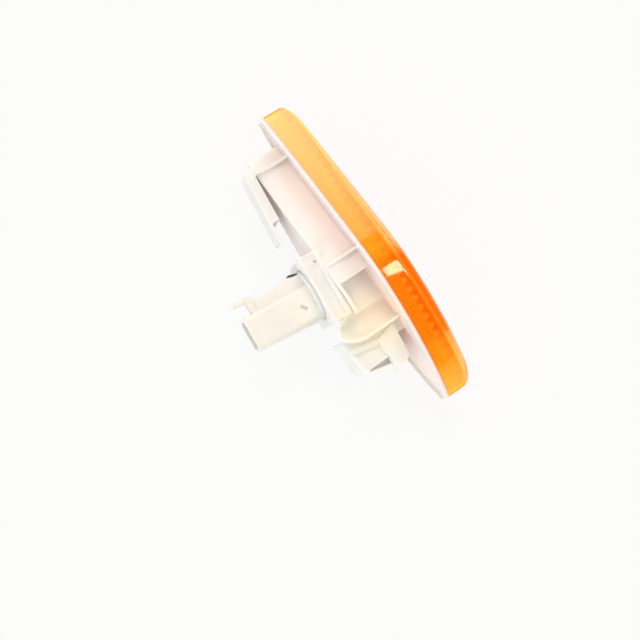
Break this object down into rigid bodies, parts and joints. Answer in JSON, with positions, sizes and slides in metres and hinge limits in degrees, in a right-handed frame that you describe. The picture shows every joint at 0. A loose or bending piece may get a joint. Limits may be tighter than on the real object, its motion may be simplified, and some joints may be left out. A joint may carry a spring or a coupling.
{
  "type": "marker lamp",
  "caption": "Leaf-shaped amber side marker lamp with a clip-in white housing, a collar and a turn-to-lock bulb holder with a connector shroud.",
  "frame": {"origin": "centre of the lamp's length and width, on the back of the flange where it seats on the body panel", "axes": "+X toward the spring arm's end of the lamp, +Y out of the back along the way into the body panel, +Z across the lamp toward the side with the pocket and the scoop"},
  "size_m": [0.124, 0.0622, 0.0332],
  "materials": {
    "amber_plastic": "polished, transparent",
    "white_plastic": "fine moulded",
    "cream_plastic": "fine moulded",
    "black_rubber": "matt",
    "spring_steel": "dark",
    "clear_glass": "clear",
    "tungsten_wire": "drawn",
    "lead_wire": "drawn",
    "contact_brass": "stamped"
  },
  "bodies": {
    "lamp_body": {"lens": "amber_plastic", "housing": "white_plastic"},
    "holder": {"bulb_holder": "cream_plastic", "holder_seal": "black_rubber", "detent_spring": "spring_steel", "bulb_glass": "clear_glass", "bulb_filament": "tungsten_wire", "bulb_wires": "lead_wire", "contact_clip_side": "contact_brass", "contact_hook_side": "contact_brass"}
  },
  "joints": [
    {"name": "holder_turn", "type": "hinge", "parent": "lamp_body", "child": "holder", "pos_m": [-0.0032, 0.0135, 0], "axis": [0.0698, 0.9976, 0], "range_deg": [0, 40]}
  ]
}
